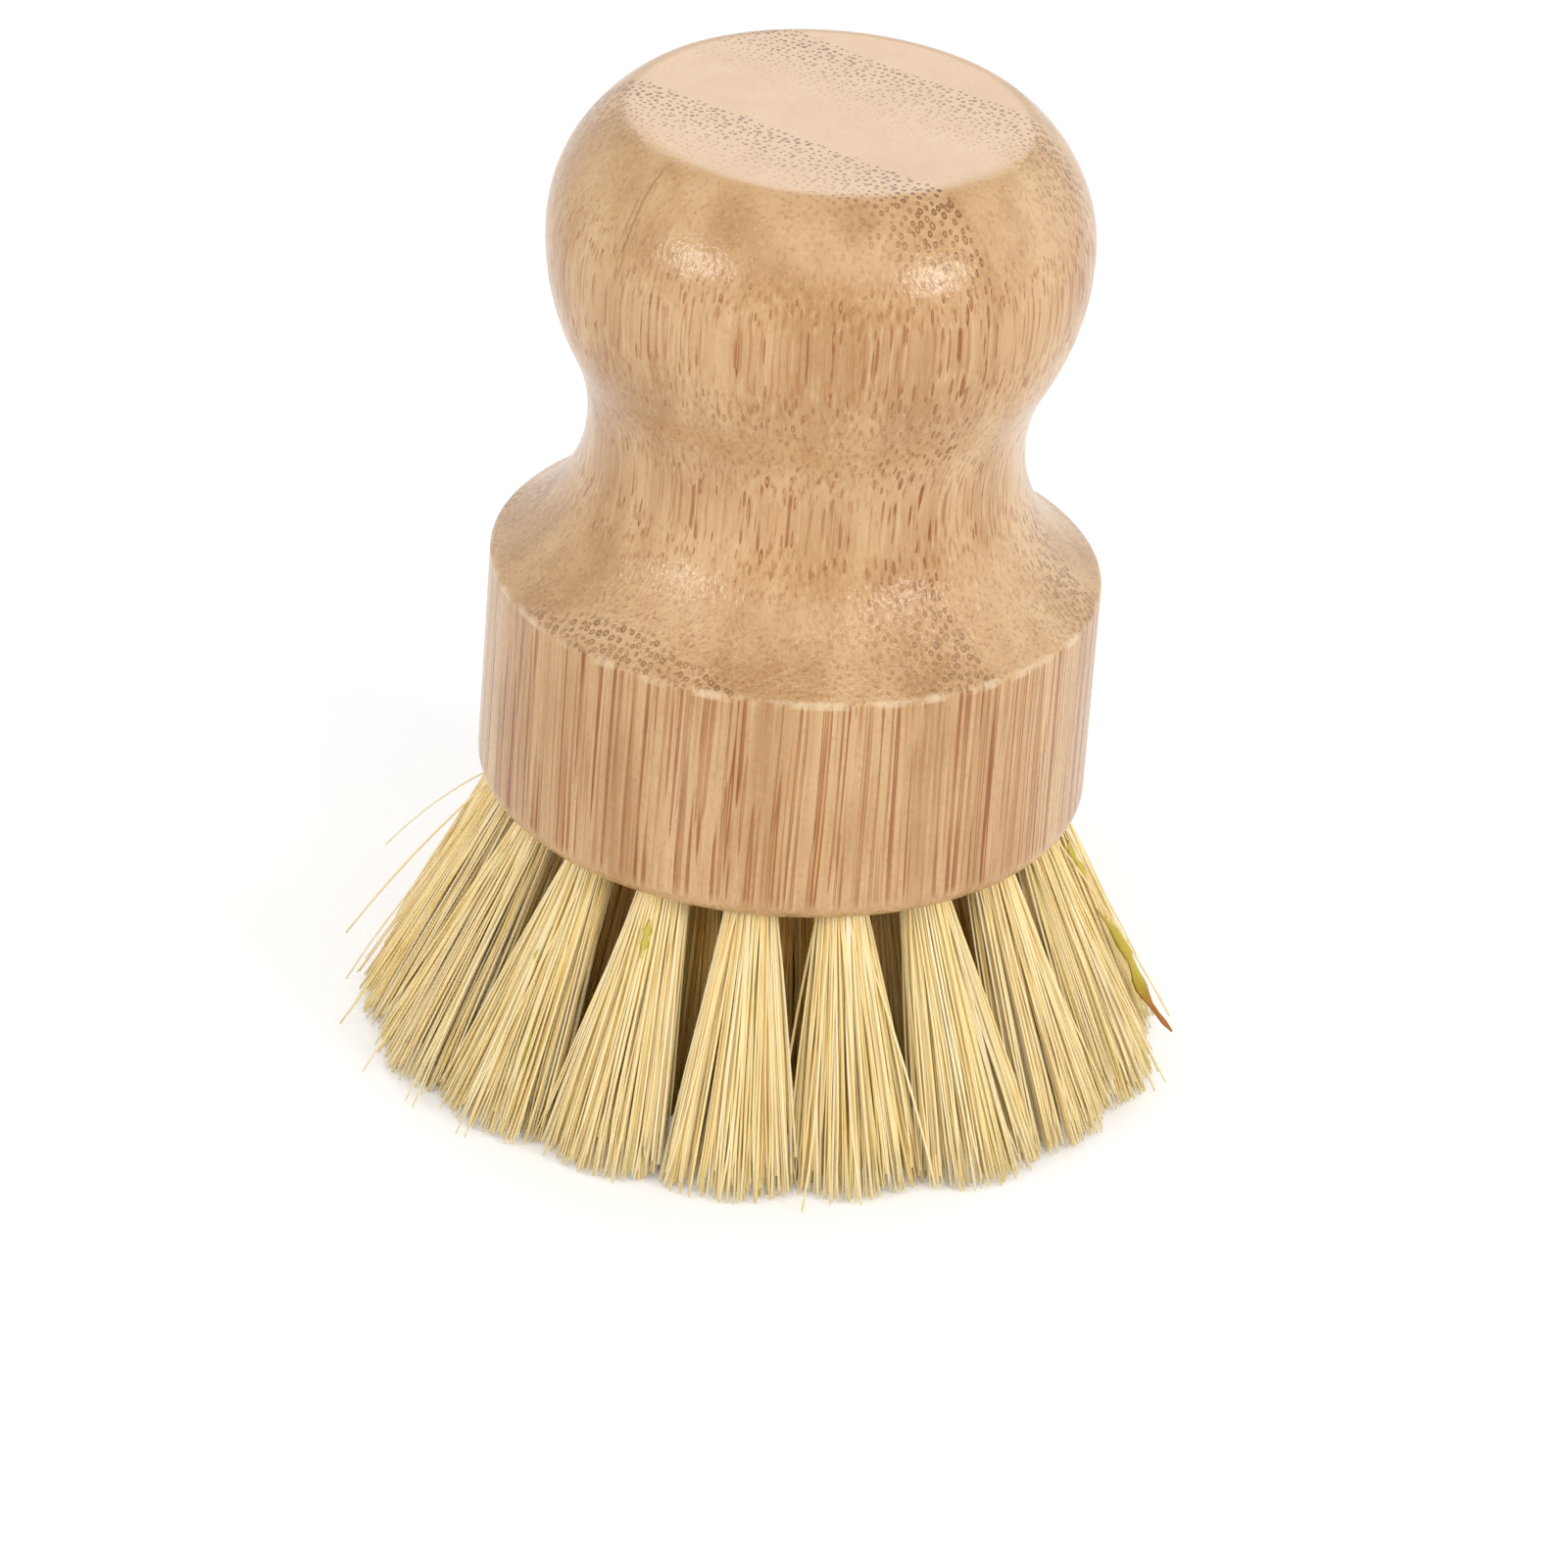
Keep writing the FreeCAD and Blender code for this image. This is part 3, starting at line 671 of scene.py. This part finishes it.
def crack_marks(nodes, place):
    """A fine crack down the knob, with a fainter one beside its lower part."""
    along = CRACK_END - CRACK_START
    outward = Vector((CRACK_START.x, CRACK_START.y, 0)).normalized()
    across = along.cross(outward).normalized()
    from_start = nodes.vector("SUBTRACT", place, CRACK_START)
    down = nodes.dot(from_start, along / along.length_squared)
    wobble = nodes.math("SUBTRACT", nodes.noise(place, CRACK_WOBBLE_SCALE, FINE_DETAIL), NOISE_MIDDLE)
    wobble = nodes.product(wobble, CRACK_WOBBLE)
    aside = nodes.math("ADD", nodes.dot(from_start, across), wobble)
    line = nodes.step(nodes.math("ABSOLUTE", aside), *CRACK_STEP)
    twin_aside = nodes.math("ABSOLUTE", nodes.math("SUBTRACT", aside, CRACK_TWIN_GAP))
    twin = nodes.product(nodes.step(twin_aside, *CRACK_TWIN_STEP), nodes.step(down, *CRACK_TWIN_START_STEP))
    both = nodes.math("MAXIMUM", line, twin)
    near_side = nodes.step(nodes.dot(place, outward), *CRACK_NEAR_SIDE_STEP)
    from_top = nodes.step(down, *CRACK_TOP_STEP)
    to_foot = nodes.step(down, *CRACK_FOOT_STEP)
    return nodes.product(both, near_side, from_top, to_foot)


def fleck_marks(nodes, place):
    """A few small brown flecks with soft edges."""
    spots = nodes.add("TexVoronoi", {"Vector": place, "Scale": 1 / FLECK_PITCH, "Randomness": 1.0})
    chance = nodes.add("SeparateColor", {0: spots.outputs["Color"]}).outputs[0]
    edge = nodes.product(nodes.noise(place, FLECK_EDGE_SCALE), FLECK_REACH_SHARE)
    fleck = nodes.step(nodes.math("DIVIDE", spots.outputs["Distance"], edge), *FLECK_STEP)
    return nodes.product(fleck, nodes.math("LESS_THAN", chance, FLECK_KEPT_SHARE))


def edge_wear_and_painted_highlight(nodes, wood):
    """A broken pale line along the band's upper edge: partly wear, partly a painted highlight on its rounded
    edge.
    """
    off_edge = nodes.math("ABSOLUTE", nodes.math("SUBTRACT", wood.over_foot, EDGE_LEVEL))
    patches = nodes.step(nodes.noise(wood.place, WEAR_AND_HIGHLIGHT_SCALE), *WEAR_AND_HIGHLIGHT_STEP)
    return nodes.product(nodes.step(off_edge, *EDGE_STEP), patches)


def varnish_tone(nodes, wood):
    """Clouds and long bands of tone, calmer on the flat top, and every other strip darker off it."""
    clouds = nodes.noise(wood.place, CLOUD_SCALE, FINEST_DETAIL)
    bands = nodes.noise(wood.grain, TONE_SCALE)
    tone = nodes.plus(bands, TONE_SHARE, nodes.product(clouds, CLOUD_SHARE))
    tone = nodes.blend(nodes.product(wood.flat, FLAT_CALM_SHARE), tone, FLAT_TONE)
    every_other = nodes.math("GREATER_THAN", nodes.math("FRACT", nodes.product(wood.turns, 0.5)), 0.5)
    return nodes.plus(nodes.product(every_other, nodes.rest(wood.flat)), DARK_STRIP, tone)


def wood_colour(nodes, wood, lines, pebbles, streaks, cores, flaws):
    """The varnished wood's tone with all its marks, the finest first."""
    colour = nodes.ramp(varnish_tone(nodes, wood), WOOD_TONES)
    pale_line = nodes.product(nodes.step(lines, *PALE_LINE_STEP), wood.side)
    colour = nodes.paint(colour, pale_line, *PALE_LINE)
    pale_pebble = nodes.product(nodes.step(pebbles, *PALE_PEBBLE_STEP), wood.pebbled)
    colour = nodes.paint(colour, pale_pebble, *PALE_PEBBLE)
    dark_line = nodes.product(nodes.step(lines, *DARK_LINE_STEP), wood.side, wood.grained)
    colour = nodes.paint(colour, dark_line, *DARK_LINE)
    dark_pebble = nodes.product(nodes.step(pebbles, *DARK_PEBBLE_STEP), wood.pebbled)
    colour = nodes.paint(colour, dark_pebble, *DARK_PEBBLE)
    colour = nodes.paint(colour, cores, *AMBER_CORE)
    end_bundle = nodes.mix(wood.sloped, FLAT_BUNDLE, SLOPE_BUNDLE)
    colour = nodes.mix(streaks, colour, nodes.mix(wood.side, end_bundle, SIDE_BUNDLE))
    # a pale line on the band's upper edge, painted highlight as well as wear
    colour = nodes.paint(colour, edge_wear_and_painted_highlight(nodes, wood), *WORN_EDGE_AND_PAINTED_HIGHLIGHT)
    return nodes.paint(colour, flaws, *FLAW)


def wood_relief(nodes, wood, lines, pebbles, streaks, flaws):
    """Raised pebbles and lines, and sunken bundles, cracks and flecks."""
    height = nodes.product(pebbles, wood.pebbled, nodes.plus(wood.on_shoulder, *PEBBLE_HEIGHT_SLOPE))
    height = nodes.plus(nodes.product(lines, wood.side), LINE_HEIGHT, height)
    height = nodes.plus(streaks, STREAK_HEIGHT, height)
    height = nodes.plus(flaws, FLAW_HEIGHT, height)
    return nodes.bump(height, *WOOD_RELIEF)


def bamboo_material():
    material, nodes = new_material("bamboo")
    wood = Wood(nodes)
    lines = nodes.noise(wood.grain, LINE_SCALE, FINE_DETAIL)
    pebbles = nodes.noise(wood.place, PEBBLE_SCALE)
    streaks, cores = bundle_streaks(nodes, wood)
    flaws = nodes.math("MAXIMUM", crack_marks(nodes, wood.place), fleck_marks(nodes, wood.place))
    relief = wood_relief(nodes, wood, lines, pebbles, streaks, flaws)
    nodes.finish({
        "Base Color": wood_colour(nodes, wood, lines, pebbles, streaks, cores, flaws),
        "Roughness": nodes.plus(streaks, STREAK_ROUGHNESS, nodes.plus(pebbles, *PEBBLE_ROUGHNESS_SLOPE)),
        "Specular IOR Level": 0.05,
        "Coat Weight": 0.8,
        "Coat Roughness": 0.2,
        "Normal": relief,
        "Coat Normal": relief,
    })
    return material


# Plant fibre, from brown to pale, with some green in it
FIBRE_PATCH_SCALE = (0.7, 0.7, 0.25)
FIBRE_PATCH_GAIN = 0.35
# The brown low end is reached mostly by the inner rings' fibres, whose lowered tint is painted shade.
FIBRE_TONES = [
    (0.05, (0.78, 0.370, 0.06)),
    (0.25, (0.93, 0.600, 0.18)),
    (0.50, (0.98, 0.750, 0.365)),
    (0.72, (0.985, 0.82, 0.50)),
    (0.95, (0.99, 0.90, 0.71)),
]
FIBRE_GREEN = (0.8, (0.76, 0.68, 0.19))
FIBRE_FINE_SCALE = (9.0, 9.0, 1.5)
FIBRE_ROUGHNESS_SLOPE = (0.25, 0.38)
FIBRE_RELIEF = (0.4, 0.00003)


def fibre_material():
    material, nodes = new_material("plant_fibre")
    place = nodes.millimetres()
    patches = nodes.math("SUBTRACT", nodes.noise(place, FIBRE_PATCH_SCALE, FINE_DETAIL), NOISE_MIDDLE)
    # The tint attribute holds each fibre's own shade, lowered on the inner rings as painted shade.
    shade = nodes.plus(patches, FIBRE_PATCH_GAIN, nodes.attribute("tint"))
    colour = nodes.ramp(shade, FIBRE_TONES)
    fine = nodes.noise(place, FIBRE_FINE_SCALE)
    nodes.finish({
        "Base Color": nodes.paint(colour, nodes.attribute("green"), *FIBRE_GREEN),
        "Roughness": nodes.plus(fine, *FIBRE_ROUGHNESS_SLOPE),
        "Specular IOR Level": 0.25,
        "Normal": nodes.bump(fine, *FIBRE_RELIEF),
    })
    return material


# Leaf skin, from green to dry
VEIN_SCALE = (4.0, 4.0, 0.8)
VEIN_GAIN = 0.6
LEAF_TONES = [
    (0.0, (0.58, 0.48, 0.08)),
    (0.25, (0.53, 0.40, 0.055)),
    (0.85, (0.44, 0.16, 0.03)),
]
LEAF_ROUGHNESS_SLOPE = (0.25, 0.38)
LEAF_RELIEF = (0.5, 0.00005)


def leaf_material():
    material, nodes = new_material("leaf_skin")
    veins = nodes.noise(nodes.millimetres(), VEIN_SCALE, FINE_DETAIL)
    uneven = nodes.math("SUBTRACT", veins, NOISE_MIDDLE)
    shade = nodes.plus(uneven, VEIN_GAIN, nodes.attribute("dry"))
    nodes.finish({
        "Base Color": nodes.ramp(shade, LEAF_TONES),
        "Roughness": nodes.plus(veins, *LEAF_ROUGHNESS_SLOPE),
        "Specular IOR Level": 0.25,
        "Normal": nodes.bump(veins, *LEAF_RELIEF),
    })
    return material


# Drawn wire, scratched along its length
SCRATCH_SCALE = (9.0, 9.0, 1.0)
WIRE_TONES = [(0.3, (0.36, 0.36, 0.37)), (0.7, (0.58, 0.58, 0.59))]
WIRE_ROUGHNESS_SLOPE = (0.3, 0.2)
WIRE_RELIEF = (0.3, 0.00002)


def wire_material():
    material, nodes = new_material("drawn_wire")
    scratches = nodes.noise(nodes.millimetres(), SCRATCH_SCALE, FINE_DETAIL)
    nodes.finish({
        "Base Color": nodes.ramp(scratches, WIRE_TONES),
        "Metallic": 1.0,
        "Roughness": nodes.plus(scratches, *WIRE_ROUGHNESS_SLOPE),
        "Normal": nodes.bump(scratches, *WIRE_RELIEF),
    })
    return material


def dress(node, material):
    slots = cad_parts[node].data.materials
    slots.clear()
    slots.append(material)


# Floor, lights and camera
FLOOR_REACH = 3.0
FLOOR_SCALE = 0.004
FLOOR_TONES = [(0.0, (0.86, 0.86, 0.86)), (1.0, (0.90, 0.90, 0.90))]
FLOOR_LIFT = 0.22  # to white, where it is seen
WORLD_LIGHT = 0.53
LIGHT_AIM = Vector((0, 0, 0.05))
LIGHT_DISTANCE = 1.3
SOFTBOXES = {  # azimuth and elevation in degrees, width, height and power
    "left_softbox": (-60, 22, 0.36, 0.36, 4.2),
    "right_softbox": (47, 24, 0.36, 0.36, 5.5),
    "rim_softbox": (105, 15, 0.8, 0.8, 2.0),
    "front_softbox": (-5, 48, 1.0, 0.8, 3.45),
    "back_softbox": (175, 33, 1.2, 0.65, 4.4),
}
EYE = Vector((-0.0735, -0.7114, 0.4115))
TARGET = Vector((0.00042, -0.00004, 0.0223))
ROLL = math.radians(4.4)
LENS = 217.6
SENSOR = 36.0
FAR_CLIP = 20.0


def floor_material():
    """Near white, and lifted to white where the camera or a reflection sees it."""
    material, nodes = new_material("floor")
    tone = nodes.noise(nodes.millimetres(), FLOOR_SCALE)
    nodes.finish({
        "Base Color": nodes.ramp(tone, FLOOR_TONES),
        "Roughness": 0.7,
        "Specular IOR Level": 0.2,
        "Emission Color": (1, 1, 1, 1),
        "Emission Strength": nodes.product(nodes.seen_directly(), FLOOR_LIFT),
    })
    return material


def add_floor():
    mesh = bpy.data.meshes.new("floor")
    corners = [(x * FLOOR_REACH, y * FLOOR_REACH, 0) for x, y in ((-1, -1), (1, -1), (1, 1), (-1, 1))]
    mesh.from_pydata(corners, [], [(0, 1, 2, 3)])
    mesh.materials.append(floor_material())
    floor = bpy.data.objects.new("floor", mesh)
    bpy.context.collection.objects.link(floor)


def add_world():
    """Even white surroundings, seen at full white and dimmer as a light."""
    world = bpy.data.worlds.new("studio")
    bpy.context.scene.world = world
    world.use_nodes = True
    nodes = Nodes(world.node_tree)
    strength = nodes.step(nodes.seen_directly(), 0.0, 1.0, WORLD_LIGHT, 1.0)
    nodes.feed(world.node_tree.nodes["Background"], {"Color": (1, 1, 1, 1), "Strength": strength})


def add_softbox(name, azimuth, elevation, width, height, power):
    """An area light turned to the brush. Azimuth 0 is in front, on -Y, and grows towards X."""
    turn = math.radians(azimuth)
    tilt = math.radians(elevation)
    direction = Vector((math.sin(turn) * math.cos(tilt), -math.cos(turn) * math.cos(tilt), math.sin(tilt)))
    lamp = bpy.data.lights.new(name, "AREA")
    lamp.shape = "RECTANGLE"
    lamp.size = width
    lamp.size_y = height
    lamp.energy = power
    holder = bpy.data.objects.new(name, lamp)
    holder.location = LIGHT_AIM + LIGHT_DISTANCE * direction
    holder.rotation_euler = direction.to_track_quat("Z", "Y").to_euler()
    bpy.context.collection.objects.link(holder)


def add_camera():
    lens = bpy.data.cameras.new("camera")
    lens.lens = LENS
    lens.sensor_width = SENSOR
    lens.clip_end = FAR_CLIP
    camera = bpy.data.objects.new("camera", lens)
    look = (TARGET - EYE).to_track_quat("-Z", "Y")
    camera.matrix_world = Matrix.Translation(EYE) @ look.to_matrix().to_4x4() @ Matrix.Rotation(ROLL, 4, "Z")
    bpy.context.collection.objects.link(camera)
    bpy.context.scene.camera = camera


dress("handle", bamboo_material())
wire = wire_material()
fibre = fibre_material()
rings = [Ring(step, name) for step, name in enumerate(RING_COUNTS)]
for ring in rings:
    dress(ring.staple_node(), wire)
    for index in range(ring.count):
        add_tuft(ring, index, fibre)
outer_ring = rings[-1]
add_slivers(outer_ring, leaf_material())

add_floor()
add_world()
for name, placing in SOFTBOXES.items():
    add_softbox(name, *placing)
add_camera()
bpy.context.scene.view_settings.view_transform = "Standard"
